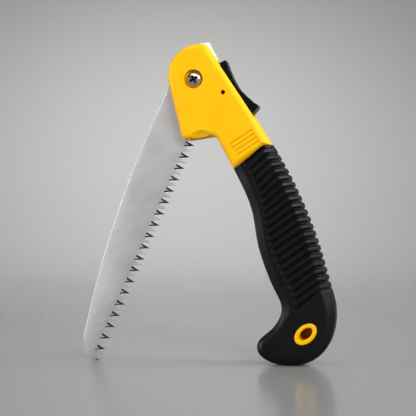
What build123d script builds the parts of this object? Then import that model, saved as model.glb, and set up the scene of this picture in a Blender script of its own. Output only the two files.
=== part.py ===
from build123d import *
import math
import os

# Folding pruning saw, standing on its pommel and its blade tip with the blade half open.
# Every shape is drawn in a pivot frame: the blade pivot is the origin, X runs to the right,
# Z runs up and Y runs through the saw's thickness, away from the near side. The last
# section moves the pieces so that the origin is under the middle of the whole saw.
# All lengths are millimetres and all angles are degrees.

# ---- driving dimensions -------------------------------------------------------------

# Blade, in its own frame: A runs from the pivot to the tip, T towards the teeth.
BLADE_THICKNESS = 1.4
BLADE_ANGLE = -114.1            # direction of A at rest, from +X towards +Z
OPEN_TURN = 135.0               # turn from rest to fully open, clockwise seen from the near side
FOLD_TURN = 40.0                # turn from rest to folded, the other way
TANG_R = 17.5
TANG_NOTCH_DEPTH = 3.0
TANG_NOTCH_WIDTH = 4.6
SPINE_START = (8.0, -15.2)
SPINE_MIDDLE = (108.0, -13.2)
SPINE_END = (191.0, -0.6)
TIP_SHOULDER = (197.4, 3.6)
TIP_NOSE = (202.7, 11.0)
TIP_UNDER = (202.0, 14.6)
TIP_HEEL = (200.4, 16.3)
TOOTH_LINE = 16.9               # T of the tooth tips
TOOTH_PITCH = 25.4 / 6
TOOTH_DEPTH = 6.0
HANDLE_FLANK = 7.0              # how far each tooth's flank on the handle side leans from square
TIP_FLANK = 26.5                # and how far its flank on the tip side does
FIRST_TOOTH = 40.8              # A of the first tooth tip
TOOTH_COUNT = 38
HEEL_START = (14.6, 9.6)        # where the tang's edge leaves the round tang

# Handle.
HEAD_HALF = 11.0                # half of the head's thickness
HEAD_EDGE_R = 3.8
GRIP_HALF = 12.8
GRIP_EDGE_R = 7.0
GRIP_SKIN = 3.2                 # rubber over the core
GRIP_STEP = 0.5                 # how far the grip's end stands above the neck
GRIP_RAMP = 18.0                # length over which the grip thickens from its end
GRIP_RAMP_TRIM = 6.0            # depth of the cut that leaves the ramp
SLOT_HALF = 1.3
SLOT_CLEARANCE = 1.7            # from the folded teeth to the slot's floor
SLOT_BAND = 120.0               # how far in front of its floor the slot reaches
SLOT_TOP_Z = -12.0              # the slot's floor is straight below this height
SLOT_BACK_X = 6.0               # the head is open through in front of this
SWEEP_CLEARANCE = 0.6           # around the turning tang
SHELL_WALL = 2.2
TONGUE = [(34.0, -68.0), (24.0, -45.0), (44.0, -33.0), (56.0, -60.0)]   # joins the core to the neck
CORE_RIB = 2.0
CORE_RIB_PITCH = 17.0
CORE_RIB_COUNT = 9
CORE_RIB_TILT = 28.0
FIRST_CORE_RIB = (50.0, -66.0)

# Back edge of the head: a straight line from its top corner, which carries the lever.
BACK_START = (9.66, 20.8)
BACK_ANGLE = -56.5

# Head outline, as corners with the radius that rounds each of them.
HEAD_TOP_Z = 23.7
HEAD_CORNERS = [
    ((-24.0, HEAD_TOP_Z), 21.3),
    ((7.74, HEAD_TOP_Z), 5.0),
    ((38.5, -22.8), 14.0),
    ((51.5, -44.4), None),
    ((46.5, -45.4), None),
    ((26.9, -60.4), None),
    ((14.7, -37.6), 6.0),
    ((-7.6, -40.9), 3.6),
]

# Hollow at the mouth's lower edge.
SCOOP_CENTRE = (5.6, -43.9)
SCOOP_BALL_R = 14.0
SCOOP_PRINT_R = 9.7             # radius of the ball's print on the head's face

# Stepped louvres on the neck.
RIB_PAD_CORNER = (24.3, -43.2)
RIB_PAD_ANGLE = 32.6
RIB_PAD_WIDTH = 17.5
RIB_PITCH = 2.9
RIB_DEPTH = 0.9
RIB_FALL = 0.9                  # run of each louvre's steep upper flank
RIB_COUNT = 4

# Grip outline: the belly, the nose before the hook, the toe, the pommel and the ribbed back.
GRIP_OUTLINE = [
    (26.9, -60.4), (34.0, -74.3), (39.4, -88.8), (42.4, -106.4), (48.2, -126.4), (55.4, -142.8),
    (59.0, -152.6), (56.8, -160.6), (49.6, -169.0), (43.2, -175.6), (43.2, -181.6), (49.6, -187.4),
    (64.0, -190.4), (78.6, -187.3), (89.0, -178.1), (93.9, -164.4), (94.2, -152.4), (91.0, -138.4),
    (83.8, -113.0), (75.3, -89.6), (65.2, -67.4), (52.4, -44.2),
]
GRIP_LIP = 0.4                  # the rubber stops this far short of the slot
GRIP_END_BEND = (46.5, -45.4)   # where the grip's end line turns flat towards the back

# Pivot.
SCREW_R = 2.5
SCREW_HEAD_R = 5.0
SCREW_HEAD_HEIGHT = 2.6
SCREW_HEAD_EDGE_R = 1.4
SCREW_CROSS = (5.4, 1.1)        # length and width of the cross recess's arms
SCREW_CROSS_DEPTH = 1.5
SCREW_CROSS_TURN = 30.0
RECESS_R = 6.4
RECESS_DEPTH = 4.3
PIVOT_WASHER_R = 5.2
PIVOT_WASHER_THICKNESS = 0.8
BUSH_R = 4.0
RUNNING_FIT = 0.06
PIN_FIT = 0.05
BLADE_WASHER_R = 9.0
NUT_ACROSS_FLATS = 8.0
NUT_HEIGHT = 5.0
NUT_COLLAR = 1.2                # how far the nylon collar stands above the hexagon
NUT_COLLAR_R = 3.7
NUT_SEAT = 5.6

# Pressed steel liner.
LINER_INNER_HALF = 1.65
LINER_SHEET = 1.2
LINER_GAP = 0.1                 # around the liner in the shells' pocket
LINER_TOP = (3.0, 24.7)
LINER_CORNER = (9.0, 25.4)
LINER_WEB_END = (15.64, 13.2)
LINER_HIDDEN_EDGE = [
    (14.6, 12.1), (22.0, 0.9), (24.2, -6.6), (27.0, -12.6), (20.0, -15.6), (4.0, -14.0), (-11.0, -6.0),
    (-11.0, 8.0),
]

# Lock lever, in the frame of the back edge: U runs down the edge, H stands out of it.
LEVER_PIN_X = 20.0
LEVER_PIN_Z = -9.1
LEVER_PIN_R = 1.5
LEVER_BOSS_R = 3.2
LEVER_HALF = 6.5
LEVER_PRESS = 8.0               # how far the lower arm can be pressed in
LEVER_STEM_HALF = 1.4
HOOK_ANGLE = 24.2               # direction of the lever's hook from the blade pivot
LEVER_PAD = [
    (12.4, 0.5), (13.0, 5.0), (20.0, 3.3), (27.0, 2.2), (34.4, 1.9), (41.6, 3.5), (48.8, 5.3),
    (48.9, 6.05), (51.4, 6.1), (53.2, 0.9), (52.6, -0.6), (36.0, -1.2), (24.0, -0.2),
]
LEVER_HOOK = [(12.8, 1.0), (13.2, -1.7), (16.6, -1.9), (18.0, 1.0)]
LEVER_STEM = [(22.0, 0.5), (26.6, -7.4), (32.4, -7.4), (37.0, 0.5)]
CHANNEL = [(11.2, 9.0), (11.2, -0.7), (24.0, -0.9), (32.0, -5.0), (54.9, -5.0), (54.9, 9.0)]
CHANNEL_HALF = 7.0
SPRING_U = 45.5
SPRING_R = 2.7
SPRING_WIRE = 0.7
SPRING_TURNS = 5
SPRING_FIT = 0.5
SPRING_FOOT = -9.6
SPRING_TOP = -1.0
LEVER_PIN_REACH = 7.5

# Oval hanging eye in the pommel: a socket from the near side, a shallow dimple on the far side.
EYE_CENTRE = (75.2, -169.1)
EYE_TILT = 42.5
EYE_OUTER = (8.6, 5.85)
EYE_HOLE = (5.3, 3.1)
EYE_PROUD = 0.2
EYE_RIM_R = 0.9
EYE_FLOOR = 10.8                # Y of the socket's floor
EYE_DIMPLE = 1.2

# Shell screws, driven from the far side behind the blade slot.
SHELL_SCREWS = {"neck": (40.5, -38.0), "grip": (66.0, -98.0), "pommel": (83.5, -152.5)}
SHELL_SCREW_R = 1.5
SHELL_SCREW_FIT = 0.2           # around the screw and its head in the far shell
BOSS_WALL = 1.0
SHELL_SCREW_HEAD_R = 3.0
SHELL_SCREW_HEAD = 2.2
SHELL_SCREW_CROSS = (3.4, 0.8)  # length and width of the cross recess's arms
SHELL_SCREW_CROSS_DEPTH = 1.2
SHELL_SCREW_SEAT = 7.0          # Y of the underside of the head
SHELL_SCREW_TIP = -7.0

SAW_SPAN = 400.0                # longer than anything in the saw

# ---- worked out from them -----------------------------------------------------------

BLADE_HALF = BLADE_THICKNESS / 2
LINER_OUTER_HALF = LINER_INNER_HALF + LINER_SHEET
FOLDED_ANGLE = BLADE_ANGLE + FOLD_TURN
CORE_HALF = GRIP_HALF - GRIP_SKIN
EYE_FACE = -GRIP_HALF - EYE_PROUD
SCREW_HEAD_SEAT = -HEAD_HALF + RECESS_DEPTH - PIVOT_WASHER_THICKNESS

# Where the hook meets the tang's rim, in the blade's frame; each notch comes there at its turn.
HOOK_AT = HOOK_ANGLE - BLADE_ANGLE
NOTCH_FOLDED = HOOK_AT - FOLD_TURN
NOTCH_OPEN = HOOK_AT + OPEN_TURN


# ---- helpers ------------------------------------------------------------------------

def slab(sketch, y_low, y_high):
    """A flat shape, drawn with X to the right and Z up, as a solid between two depths."""
    return Pos(0, y_high, 0) * extrude(Plane.XZ * sketch, amount=y_high - y_low, dir=(0, -1, 0))


def rod(x, z, radius, y_low, y_high):
    """A round bar through the saw's thickness."""
    return slab(Pos(x, z) * Circle(radius), y_low, y_high)


def cross(arm):
    """A cross recess, from the length and width of its arms."""
    length, width = arm
    return Rectangle(length, width) + Rectangle(width, length)


def on_back(sketch):
    """A flat shape drawn along the head's back edge."""
    return Pos(*BACK_START) * Rot(0, 0, BACK_ANGLE) * sketch


def on_blade(sketch):
    """A flat shape drawn in the blade's frame."""
    return Rot(0, 0, BLADE_ANGLE) * sketch


def other_side(solid):
    """The far side's copy of a near-side solid."""
    return mirror(solid, about=Plane.XZ)


def side_edges(solid, y_face):
    """The edges that lie flat at one depth."""
    return [edge for edge in solid.edges() if abs(edge.bounding_box().min.Y - y_face) < 1e-3
            and abs(edge.bounding_box().max.Y - y_face) < 1e-3]


def fillet_side_edges(solid, radius, y_face):
    """Round the outer edges of a slab on one of its side faces."""
    return fillet(side_edges(solid, y_face), radius)


# ---- outlines -----------------------------------------------------------------------

def rounded_outline(corners):
    """A closed outline with each corner rounded by its own radius, or left sharp."""
    face = make_face(Polyline(*[point for point, _ in corners], close=True))
    for point, radius in corners:
        if radius is not None:
            face = fillet(face.vertices().sort_by_distance(Vector(*point))[0], radius)
    return face


def head_outline():
    return rounded_outline(HEAD_CORNERS)


def grip_outline():
    side = Spline(*GRIP_OUTLINE)
    end = Polyline(GRIP_OUTLINE[-1], GRIP_END_BEND, GRIP_OUTLINE[0])
    return make_face([side, *end.edges()])


def inset_outline(inset):
    """The grip's outline moved inwards, and closed straight across at its top end."""
    side = Spline(*GRIP_OUTLINE)
    count = 2 * len(GRIP_OUTLINE)
    points = []
    for step in range(count + 1):
        along = side % (step / count)
        points.append(side @ (step / count) + Vector(-along.Y, along.X) * inset)
    return make_face([Spline(*points), Line(points[-1], points[0])])


def core_outline():
    """The plastic core inside the grip, with a tongue that joins it to the neck."""
    return inset_outline(GRIP_SKIN) + make_face(Polyline(*TONGUE, close=True))


def in_front_of_slot_floor(moved=0.0):
    """The folded blade's side of a line just behind its teeth, below the lever's pin."""
    floor = TOOTH_LINE + SLOT_CLEARANCE + moved
    strip = Pos(0, floor - SLOT_BAND / 2) * Rectangle(2 * SAW_SPAN, SLOT_BAND)
    below_pin = Pos(0, SLOT_TOP_Z - SAW_SPAN / 2) * Rectangle(SAW_SPAN, SAW_SPAN)
    return (Rot(0, 0, FOLDED_ANGLE) * strip) & below_pin


def slot_outline():
    """Everywhere that the blade sweeps between folded and open."""
    open_side = Pos(SLOT_BACK_X - SAW_SPAN / 2, 0) * Rectangle(SAW_SPAN, SAW_SPAN)
    return in_front_of_slot_floor() + open_side + Circle(TANG_R + SWEEP_CLEARANCE)


def oval(semi_axes, grow=0.0):
    return Pos(*EYE_CENTRE) * Rot(0, 0, EYE_TILT) * Ellipse(semi_axes[0] + grow, semi_axes[1] + grow)


def channel_outline():
    """The trough in the back edge that the lever sits and moves in."""
    return on_back(make_face(Polyline(*CHANNEL, close=True)))


def liner_outline(grow=0.0):
    """The liner's side plate: its top corner and web show, the rest is inside the head."""
    plate = make_face(Polyline(LINER_TOP, LINER_CORNER, LINER_WEB_END, *LINER_HIDDEN_EDGE, close=True))
    return offset(plate, amount=grow, kind=Kind.INTERSECTION) if grow else plate


# ---- shells -------------------------------------------------------------------------

def finger_scoop():
    """The hollow at the mouth's lower edge, a ball's print in the near face."""
    centre_y = -HEAD_HALF - math.sqrt(SCOOP_BALL_R**2 - SCOOP_PRINT_R**2)
    return Pos(SCOOP_CENTRE[0], centre_y, SCOOP_CENTRE[1]) * Sphere(SCOOP_BALL_R)


def neck_ribs():
    """Four stepped louvres cut into the neck's near face."""
    along = math.radians(RIB_PAD_ANGLE)
    across_neck = Vector(math.cos(along), 0, math.sin(along))
    down_neck = Vector(math.sin(along), 0, -math.cos(along))
    corner = Vector(RIB_PAD_CORNER[0], -HEAD_HALF, RIB_PAD_CORNER[1])
    notch = [(0, -1), (0, 0), (RIB_FALL, RIB_DEPTH), (RIB_PITCH, 0), (RIB_PITCH, -1)]
    step = make_face(Polyline(*notch, close=True))
    cuts = []
    for row in range(RIB_COUNT):
        plane = Plane(origin=corner + down_neck * row * RIB_PITCH, x_dir=down_neck, z_dir=across_neck)
        cuts.append(extrude(plane * step, amount=RIB_PAD_WIDTH))
    return cuts


def core_hollows():
    """Pockets that leave an even wall, with cross ribs and bosses standing between them."""
    pocket = inset_outline(GRIP_SKIN + SHELL_WALL) - in_front_of_slot_floor(moved=SHELL_WALL)
    for x, z in SHELL_SCREWS.values():
        pocket -= Pos(x, z) * Circle(SHELL_SCREW_HEAD_R + BOSS_WALL)
    pocket -= oval(EYE_OUTER)
    for row in range(CORE_RIB_COUNT):
        middle = Pos(FIRST_CORE_RIB[0], FIRST_CORE_RIB[1] - row * CORE_RIB_PITCH)
        pocket -= middle * Rot(0, 0, CORE_RIB_TILT) * Rectangle(SAW_SPAN, CORE_RIB)
    return slab(pocket, -CORE_HALF + SHELL_WALL, 1)


def shell_blank():
    """What both shells share, as the near one."""
    head = fillet_side_edges(slab(head_outline(), -HEAD_HALF, 0), HEAD_EDGE_R, -HEAD_HALF)
    shell = head + slab(core_outline() - head_outline(), -CORE_HALF, 0)
    shell += fillet_side_edges(slab(oval(EYE_OUTER), EYE_FACE, 0), EYE_RIM_R, EYE_FACE)
    shell -= slab(slot_outline(), -SLOT_HALF, 1)
    shell -= slab(liner_outline(LINER_GAP), -LINER_OUTER_HALF - LINER_GAP, 1)
    shell -= slab(channel_outline(), -CHANNEL_HALF, 1)
    shell -= on_back_bar(SPRING_U, SPRING_R + SPRING_FIT, SPRING_FOOT, 0)
    shell -= rod(0, 0, SCREW_R + RUNNING_FIT, -SAW_SPAN, 1)
    shell -= rod(LEVER_PIN_X, LEVER_PIN_Z, LEVER_PIN_R + PIN_FIT, -SAW_SPAN, 1)
    shell -= finger_scoop()
    for cut in neck_ribs():
        shell -= cut
    return shell - core_hollows()


def shell_near():
    shell = shell_blank() - rod(0, 0, RECESS_R, -SAW_SPAN, -HEAD_HALF + RECESS_DEPTH)
    shell -= slab(oval(EYE_HOLE), -SAW_SPAN, 1)
    socket_mouth = min(side_edges(shell, EYE_FACE), key=lambda edge: edge.length)
    shell = fillet(socket_mouth, EYE_RIM_R)
    for x, z in SHELL_SCREWS.values():
        shell -= rod(x, z, SHELL_SCREW_R + PIN_FIT, SHELL_SCREW_TIP - SHELL_SCREW_FIT, 1)
    return shell


def shell_far():
    shell = other_side(shell_blank())
    pocket = RegularPolygon(NUT_ACROSS_FLATS / 2 + PIN_FIT, 6, major_radius=False)
    shell -= slab(pocket, NUT_SEAT, SAW_SPAN)
    shell -= slab(oval(EYE_HOLE), -1, EYE_FLOOR)
    shell -= slab(oval(EYE_HOLE), -EYE_FACE - EYE_DIMPLE, SAW_SPAN)
    for x, z in SHELL_SCREWS.values():
        shell -= rod(x, z, SHELL_SCREW_R + SHELL_SCREW_FIT, -1, SAW_SPAN)
        shell -= rod(x, z, SHELL_SCREW_HEAD_R + SHELL_SCREW_FIT, SHELL_SCREW_SEAT, SAW_SPAN)
    return shell


# ---- grips --------------------------------------------------------------------------

def grip_blank():
    """One rubber half, moulded over the core, its end ramped down to the neck."""
    block = slab(grip_outline(), -GRIP_HALF, 0)
    rim = [edge for edge in block.edges() if edge.bounding_box().max.Y < 1e-3 - GRIP_HALF
           and edge.length > 100]
    block = fillet(rim, GRIP_EDGE_R)
    rise = GRIP_HALF - HEAD_HALF - GRIP_STEP
    end = Vector(GRIP_OUTLINE[0][0], -HEAD_HALF - GRIP_STEP, GRIP_OUTLINE[0][1])
    bend = Vector(GRIP_END_BEND[0], end.Y, GRIP_END_BEND[1])
    across = (bend - end).normalized()
    down = Vector(across.Z, 0, -across.X)
    trim = -GRIP_RAMP_TRIM
    above = -SAW_SPAN
    ramp = Polyline((above, 0), (0, 0), (GRIP_RAMP, -rise), (GRIP_RAMP, trim), (above, trim), close=True)
    plane = Plane(origin=end - across * SAW_SPAN / 2, x_dir=down, z_dir=across)
    block -= extrude(plane * make_face(ramp), amount=SAW_SPAN)
    core = slab(core_outline(), -CORE_HALF, 1)
    return block - core - slab(slot_outline(), -SLOT_HALF - GRIP_LIP, 1) - slab(oval(EYE_OUTER), -SAW_SPAN, 1)


def grip_near():
    return grip_blank()


def grip_far():
    grip = other_side(grip_blank())
    for name in ("grip", "pommel"):
        x, z = SHELL_SCREWS[name]
        grip -= rod(x, z, SHELL_SCREW_HEAD_R + SHELL_SCREW_FIT, 0, SAW_SPAN)
    return grip


# ---- liner and pivot ----------------------------------------------------------------

def head_liner():
    """Two plates joined by a web along the top of the head's back edge."""
    blank = slab(liner_outline(), -LINER_OUTER_HALF, LINER_OUTER_HALF)
    web_angle = math.degrees(math.atan2(
        LINER_WEB_END[1] - LINER_CORNER[1], LINER_WEB_END[0] - LINER_CORNER[0]))
    inside = Pos(*LINER_CORNER) * Rot(0, 0, web_angle) * Pos(0, -LINER_SHEET - 50) * Rectangle(SAW_SPAN, 100)
    below = Pos(*LINER_WEB_END) * Rot(0, 0, BACK_ANGLE) * Pos(50, 0) * Rectangle(100, 100)
    liner = blank - slab(inside + below, -LINER_INNER_HALF, LINER_INNER_HALF)
    liner -= rod(0, 0, SCREW_R + RUNNING_FIT, -SAW_SPAN, SAW_SPAN)
    return liner - rod(LEVER_PIN_X, LEVER_PIN_Z, LEVER_PIN_R + PIN_FIT, -SAW_SPAN, SAW_SPAN)


def pivot_screw():
    head = rod(0, 0, SCREW_HEAD_R, SCREW_HEAD_SEAT - SCREW_HEAD_HEIGHT, SCREW_HEAD_SEAT)
    top_y = SCREW_HEAD_SEAT - SCREW_HEAD_HEIGHT
    head = fillet_side_edges(head, SCREW_HEAD_EDGE_R, top_y)
    head -= slab(Rot(0, 0, SCREW_CROSS_TURN) * cross(SCREW_CROSS), top_y - 1, top_y + SCREW_CROSS_DEPTH)
    return head + rod(0, 0, SCREW_R, SCREW_HEAD_SEAT, NUT_SEAT + NUT_HEIGHT)


def pivot_screw_washer():
    seat = -HEAD_HALF + RECESS_DEPTH
    ring = rod(0, 0, PIVOT_WASHER_R, seat - PIVOT_WASHER_THICKNESS, seat)
    return ring - rod(0, 0, SCREW_R + RUNNING_FIT, -SAW_SPAN, SAW_SPAN)


def pivot_nut():
    """Lock nut: a hexagon with a round collar."""
    hexagon = RegularPolygon(NUT_ACROSS_FLATS / 2, 6, major_radius=False)
    nut = slab(hexagon, NUT_SEAT, NUT_SEAT + NUT_HEIGHT - NUT_COLLAR)
    nut += rod(0, 0, NUT_COLLAR_R, NUT_SEAT, NUT_SEAT + NUT_HEIGHT)
    return nut - rod(0, 0, SCREW_R, -SAW_SPAN, SAW_SPAN)


def pivot_bushing():
    sleeve = rod(0, 0, BUSH_R, -LINER_INNER_HALF, LINER_INNER_HALF)
    return sleeve - rod(0, 0, SCREW_R + RUNNING_FIT, -SAW_SPAN, SAW_SPAN)


def blade_washer(side):
    inner = BLADE_HALF + RUNNING_FIT
    ring = Circle(BLADE_WASHER_R) - Circle(BUSH_R + RUNNING_FIT)
    low, high = sorted((side * inner, side * LINER_INNER_HALF))
    return slab(ring, low, high)


# ---- blade --------------------------------------------------------------------------

def tooth_points():
    """Gullets and tips from the heel to the tip; the steep flanks face the handle."""
    handle_side = TOOTH_DEPTH * math.tan(math.radians(HANDLE_FLANK))
    tip_side = TOOTH_DEPTH * math.tan(math.radians(TIP_FLANK))
    points = []
    for tooth in range(TOOTH_COUNT):
        tip = FIRST_TOOTH + tooth * TOOTH_PITCH
        points.append((tip - handle_side, TOOTH_LINE - TOOTH_DEPTH))
        points.append((tip, TOOTH_LINE))
        points.append((tip + tip_side, TOOTH_LINE - TOOTH_DEPTH))
    return points[:-1]


def blade_outline():
    teeth = tooth_points()
    spine = ThreePointArc(SPINE_START, SPINE_MIDDLE, SPINE_END)
    tip = Spline(SPINE_END, TIP_SHOULDER, TIP_NOSE, TIP_UNDER, TIP_HEEL, tangents=[spine % 1, (-1, 0)],
                 tangent_scalars=[1, 0.3])
    edge = Polyline(TIP_HEEL, *reversed(teeth), HEEL_START, (0, 0), SPINE_START)
    body = make_face([spine, tip, *edge.edges()])
    tang = Circle(TANG_R)
    for angle in (NOTCH_FOLDED, NOTCH_OPEN):
        tang -= Rot(0, 0, angle) * Pos(TANG_R, 0) * Rectangle(2 * TANG_NOTCH_DEPTH, TANG_NOTCH_WIDTH)
    return body + tang


def blade():
    steel = slab(on_blade(blade_outline()), -BLADE_HALF, BLADE_HALF)
    return steel - rod(0, 0, BUSH_R + RUNNING_FIT, -SAW_SPAN, SAW_SPAN)


# ---- lock ---------------------------------------------------------------------------

def lock_lever():
    """Rocking lever: finger pad below, hook above, and a stem down to its pin."""
    lever = slab(on_back(make_face(Polyline(*LEVER_PAD, close=True))), -LEVER_HALF, LEVER_HALF)
    hook = on_back(make_face(Polyline(*LEVER_HOOK, close=True)))
    stem = on_back(make_face(Polyline(*LEVER_STEM, close=True)))
    boss = Pos(LEVER_PIN_X, LEVER_PIN_Z) * Circle(LEVER_BOSS_R)
    lever += slab(hook + stem + boss, -LEVER_STEM_HALF, LEVER_STEM_HALF)
    lever -= rod(LEVER_PIN_X, LEVER_PIN_Z, LEVER_PIN_R + RUNNING_FIT, -SAW_SPAN, SAW_SPAN)
    return lever


def lock_pin():
    return rod(LEVER_PIN_X, LEVER_PIN_Z, LEVER_PIN_R, -LEVER_PIN_REACH, LEVER_PIN_REACH)


def on_back_frame():
    """The back edge's frame in space: X down the edge, Y out of it, Z towards the near side."""
    angle = math.radians(BACK_ANGLE)
    return Plane(
        origin=(BACK_START[0], 0, BACK_START[1]),
        x_dir=(math.cos(angle), 0, math.sin(angle)), z_dir=(0, -1, 0))


def on_back_bar(along, radius, low, high):
    """A round bar that stands square to the back edge."""
    bar = Pos(along, (low + high) / 2, 0) * Rot(90, 0, 0) * Cylinder(radius, high - low)
    return on_back_frame() * bar


def lock_spring():
    """Compression coil between the trough's pocket and the lever's lower arm."""
    height = SPRING_TOP - SPRING_FOOT - SPRING_WIRE
    coil = Helix(height / SPRING_TURNS, height, SPRING_R - SPRING_WIRE / 2)
    profile = Plane(origin=coil @ 0, z_dir=coil % 0) * Circle(SPRING_WIRE / 2)
    wire = sweep(profile, path=coil)
    upright = Pos(SPRING_U, SPRING_FOOT + SPRING_WIRE / 2, 0) * Rot(-90, 0, 0) * wire
    return on_back_frame() * upright


# ---- shell screws -------------------------------------------------------------------

def shell_screw(name):
    x, z = SHELL_SCREWS[name]
    head = rod(x, z, SHELL_SCREW_HEAD_R, SHELL_SCREW_SEAT, SHELL_SCREW_SEAT + SHELL_SCREW_HEAD)
    top = SHELL_SCREW_SEAT + SHELL_SCREW_HEAD
    head -= slab(Pos(x, z) * cross(SHELL_SCREW_CROSS), top - SHELL_SCREW_CROSS_DEPTH, top + 1)
    return head + rod(x, z, SHELL_SCREW_R, SHELL_SCREW_TIP, SHELL_SCREW_SEAT)


# ---- assembly -----------------------------------------------------------------------

pieces = {
    "shell_near": shell_near(),
    "shell_far": shell_far(),
    "grip_near": grip_near(),
    "grip_far": grip_far(),
    "head_liner": head_liner(),
    "pivot_screw": pivot_screw(),
    "pivot_screw_washer": pivot_screw_washer(),
    "pivot_nut": pivot_nut(),
    "pivot_bushing": pivot_bushing(),
    "blade_washer_near": blade_washer(-1),
    "blade_washer_far": blade_washer(1),
    "blade": blade(),
    "lock_lever": lock_lever(),
    "lock_pin": lock_pin(),
    "lock_spring": lock_spring(),
}
for name in SHELL_SCREWS:
    pieces[f"shell_screw_{name}"] = shell_screw(name)

# The origin goes under the middle of the whole saw, on the surface that it stands on.
box = Compound([solid for piece in pieces.values() for solid in piece.solids()]).bounding_box()
to_row = Pos(-(box.min.X + box.max.X) / 2, -(box.min.Y + box.max.Y) / 2, -box.min.Z)

os.makedirs("parts", exist_ok=True)
for name, piece in pieces.items():
    export_step(to_row * Compound(piece.solids()), f"parts/{name}.step")

pivot = to_row * Pos(0, 0, 0)
pin = to_row * Pos(LEVER_PIN_X, 0, LEVER_PIN_Z)
print("size", box.size)
print("blade pivot", pivot.position)
print("lever pin", pin.position)
print("hanging eye", (to_row * Pos(EYE_CENTRE[0], 0, EYE_CENTRE[1])).position)
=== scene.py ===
"""Folding pruning saw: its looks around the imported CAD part.

Detailed shapes are drawn in the pivot frame, in millimetres: the blade pivot is the origin, X runs to
the right, Y away from the near side and Z up. place() puts them into the row frame, in metres.
"""

import math

import bmesh
import bpy
import numpy as np
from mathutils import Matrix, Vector
from mathutils.geometry import tessellate_polygon


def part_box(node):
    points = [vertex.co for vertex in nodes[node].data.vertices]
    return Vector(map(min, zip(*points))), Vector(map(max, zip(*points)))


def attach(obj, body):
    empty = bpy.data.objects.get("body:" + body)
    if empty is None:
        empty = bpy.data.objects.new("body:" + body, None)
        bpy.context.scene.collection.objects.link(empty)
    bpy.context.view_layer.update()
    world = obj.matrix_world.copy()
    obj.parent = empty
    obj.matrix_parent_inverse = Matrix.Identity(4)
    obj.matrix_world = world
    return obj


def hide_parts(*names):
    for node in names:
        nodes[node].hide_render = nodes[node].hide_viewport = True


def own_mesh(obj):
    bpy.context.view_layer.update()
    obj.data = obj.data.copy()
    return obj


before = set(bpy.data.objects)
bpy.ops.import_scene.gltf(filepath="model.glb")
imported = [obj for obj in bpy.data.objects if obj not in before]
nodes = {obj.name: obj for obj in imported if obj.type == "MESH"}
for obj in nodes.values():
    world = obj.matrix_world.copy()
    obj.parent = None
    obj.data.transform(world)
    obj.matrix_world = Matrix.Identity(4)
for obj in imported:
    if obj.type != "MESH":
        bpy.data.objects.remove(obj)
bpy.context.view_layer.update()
scene = bpy.context.scene

MM = 0.001


def middle(node):
    """The middle of a CAD node's box, in the row frame."""
    low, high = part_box(node)
    return (low + high) / 2


# ---- driving dimensions, from the frame ----------------------------------------------

PIVOT = middle("pivot_bushing")
BLADE_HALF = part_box("blade")[1].y / MM
GRIP_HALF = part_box("grip_far")[1].y / MM
NUT_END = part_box("pivot_screw")[1].y / MM
SCREW_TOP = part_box("pivot_screw")[0].y / MM

# ---- driving dimensions, in the pivot frame, millimetres ------------------------------

GRIP_OUTLINE = [                # its side outline: down the front, round the pommel and up the back
    (26.9, -60.4), (34.0, -74.3), (39.4, -88.8), (42.4, -106.4), (48.2, -126.4), (55.4, -142.8),
    (59.0, -152.6), (56.8, -160.6), (49.6, -169.0), (43.2, -175.6), (43.2, -181.6), (49.6, -187.4),
    (64.0, -190.4), (78.6, -187.3), (89.0, -178.1), (93.9, -164.4), (94.2, -152.4), (91.0, -138.4),
    (83.8, -113.0), (75.3, -89.6), (65.2, -67.4), (52.4, -44.2),
]
TOE_POINT = (42.2, -178.6)      # the tip of the pommel's hook lies nearest to this
GRIP_END_BEND = (46.5, -45.4)   # where the line of the grip's end bends
GRIP_END_SLOPE = 0.2            # that line's slope behind the bend
GRIP_END_BLEND = 10.0           # how far past the bend the line in front of it still counts
GRIP_EDGE_R = 7.0               # the rounded edge, measured across the face
GRIP_EDGE_DEPTH = 5.0           # and into the thickness
FACET = (math.radians(7), math.radians(58))    # the part of the rounded edge that is cut flat
GRIP_SKIN = 3.2                 # the rubber's thickness
GRIP_END_DROP = 1.3             # how much thinner each half is at its end
GRIP_RAMP = 18.0                # and how far down it is back to its full thickness
GRIP_END_R = 0.5                # the round along its end
GRIP_END_ROUND = 0.8            # how much of that round shows
SLOT_LIP = 1.7                  # the halves stop this far from the middle along the slot
PARTING_GAP = 0.02              # and this far from it behind the slot
SLOT_FLOOR = 18.6               # distance of the slot's floor from the pivot
FOLDED_ANGLE = math.radians(-74.1)    # the direction of the folded blade and of the slot
PARTING_DEPTH = 1.1             # how far the skin turns in at the parting line
WALL_STEPS = [                  # the wall down to it: share of the height left, and how far in
    (0.8, 0.0), (0.6, 0.0), (0.42, 0.0), (0.28, 0.02), (0.20, 0.10), (0.12, 0.30), (0.06, 0.56),
    (0.02, 0.86), (0.0, PARTING_DEPTH),
]

GROOVE_COUNT = 21
FIRST_STATION = 0.6             # the grip's end line, counted in grooves
GROOVE_ENDS = {                 # front ends of some grooves
    0.6: (33.9, -55.4), 5: (43.9, -75.7), 10: (49.0, -100.4), 14: (54.7, -119.8), 18: (63.9, -137.7),
    20: (67.4, -147.3), 21: (67.9, -152.9),
}
GROOVE_DEPTH = 1.8
GROOVE_DEPTH_EDGE = 1.2         # its depth over the rounded edge
GROOVE_DEPTH_END = 0.3          # the same, beside the grip's end
LAST_GROOVE_LOSS = 0.6          # how much shallower the last groove is at the back
GROOVE_HALF = 0.31              # half of its width, as a share of the pitch
GROOVE_FLAT = 0.03              # half of its flat bottom's width, likewise
GROOVE_SIDE = [0.07, 0.12, 0.17, 0.22, 0.27, 0.34, 0.42]    # rows of points on each side of it, likewise
GROOVE_BEND_ROUND = 2.5         # the round where each groove bends
BACK_PITCH = 5.1                # pitch of the grooves along the back outline
BACK_START = 0.75               # where that outline starts, counted in grooves
FRONT_PITCH = 4.9               # pitch of their rows of points along the front outline
BACK_BEND = (-6.2, -0.7)        # from a groove's end at the back to where it bends
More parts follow.
